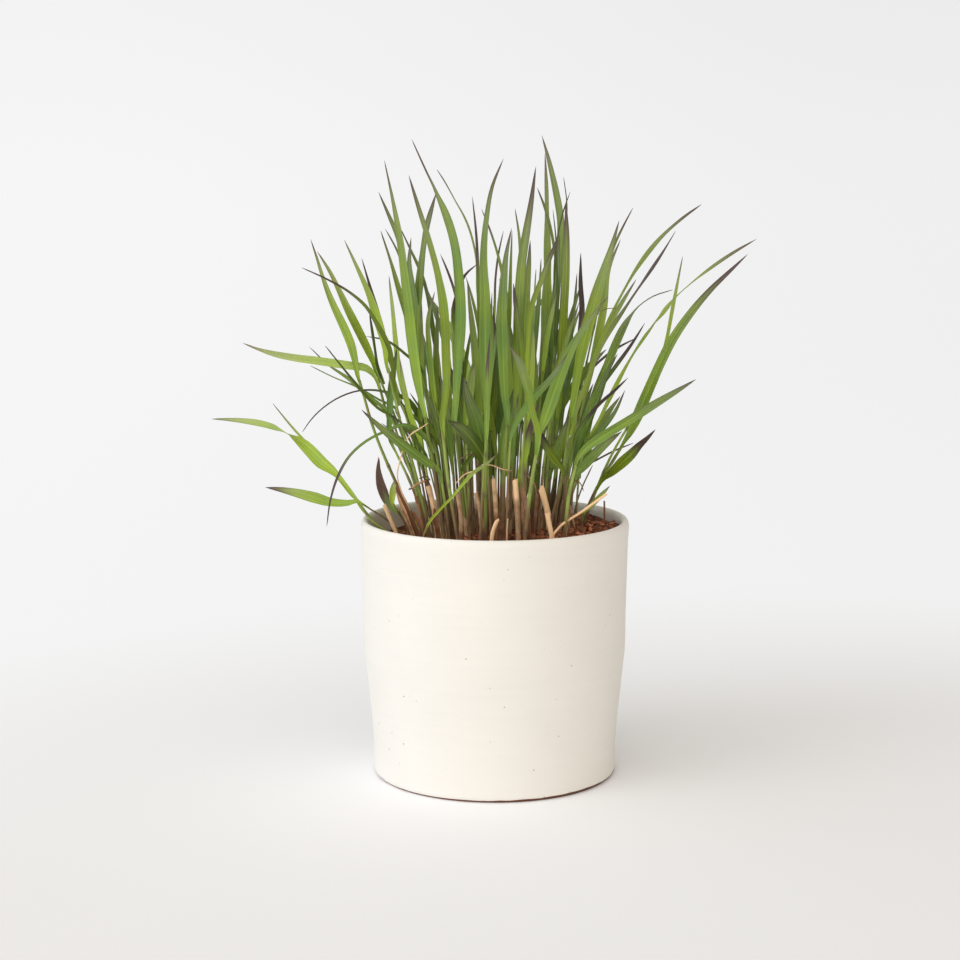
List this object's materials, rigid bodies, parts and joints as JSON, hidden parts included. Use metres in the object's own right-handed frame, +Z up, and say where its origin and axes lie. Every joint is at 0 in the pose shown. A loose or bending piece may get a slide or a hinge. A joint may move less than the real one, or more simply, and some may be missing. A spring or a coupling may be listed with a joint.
{
  "type": "potted ornamental grass clump",
  "caption": "Clump of upright grass culms with long pointed blades, rooted in bark soil in a plain round stoneware pot that stands on a flat foot.",
  "frame": {"origin": "centre of the pot's flat base, on the surface that it stands on", "axes": "+Z up along the pot's axis; -Y is the side that the picture shows; +X to the right in the picture"},
  "size_m": [0.3, 0.242, 0.3555],
  "materials": {
    "speckled_glaze": "matte warm white glaze with small brown specks, and bare brown clay at the foot",
    "earth": "loose red-brown bark chips and crumbs",
    "green_stem": "green above, olive-brown near the soil",
    "green_leaf": "veined green blades, purple towards some tips, soft sheen",
    "dry_straw": "dry pale straw"
  },
  "bodies": {
    "root": {"pot": "speckled_glaze", "soil": "earth", "culm_01": "green_stem", "culm_02": "green_stem", "culm_03": "green_stem", "culm_04": "green_stem", "culm_05": "green_stem", "culm_06": "green_stem", "culm_07": "green_stem", "culm_08": "green_stem", "culm_09": "green_stem", "culm_10": "green_stem", "culm_11": "green_stem", "culm_12": "green_stem", "culm_13": "green_stem", "culm_14": "green_stem", "culm_15": "green_stem", "culm_16": "green_stem", "culm_17": "green_stem", "culm_18": "green_stem", "culm_19": "green_stem", "culm_20": "green_stem", "leaf_01": "green_leaf", "leaf_02": "green_leaf", "leaf_03": "green_leaf", "leaf_04": "green_leaf", "leaf_05": "green_leaf", "leaf_06": "green_leaf", "leaf_07": "green_leaf", "leaf_08": "green_leaf", "leaf_09": "green_leaf", "leaf_10": "green_leaf", "leaf_11": "green_leaf", "leaf_12": "green_leaf", "leaf_13": "green_leaf", "leaf_14": "green_leaf", "leaf_15": "green_leaf", "leaf_16": "green_leaf", "leaf_17": "green_leaf", "leaf_18": "green_leaf", "leaf_19": "green_leaf", "leaf_20": "green_leaf", "leaf_21": "green_leaf", "leaf_22": "green_leaf", "leaf_23": "green_leaf", "leaf_24": "green_leaf", "leaf_25": "green_leaf", "leaf_26": "green_leaf", "leaf_27": "green_leaf", "leaf_28": "green_leaf", "leaf_29": "green_leaf", "leaf_30": "green_leaf", "leaf_31": "green_leaf", "leaf_32": "green_leaf", "leaf_33": "green_leaf", "leaf_34": "green_leaf", "stub_01": "dry_straw", "stub_02": "dry_straw", "stub_03": "dry_straw", "stub_04": "dry_straw"}
  },
  "joints": []
}
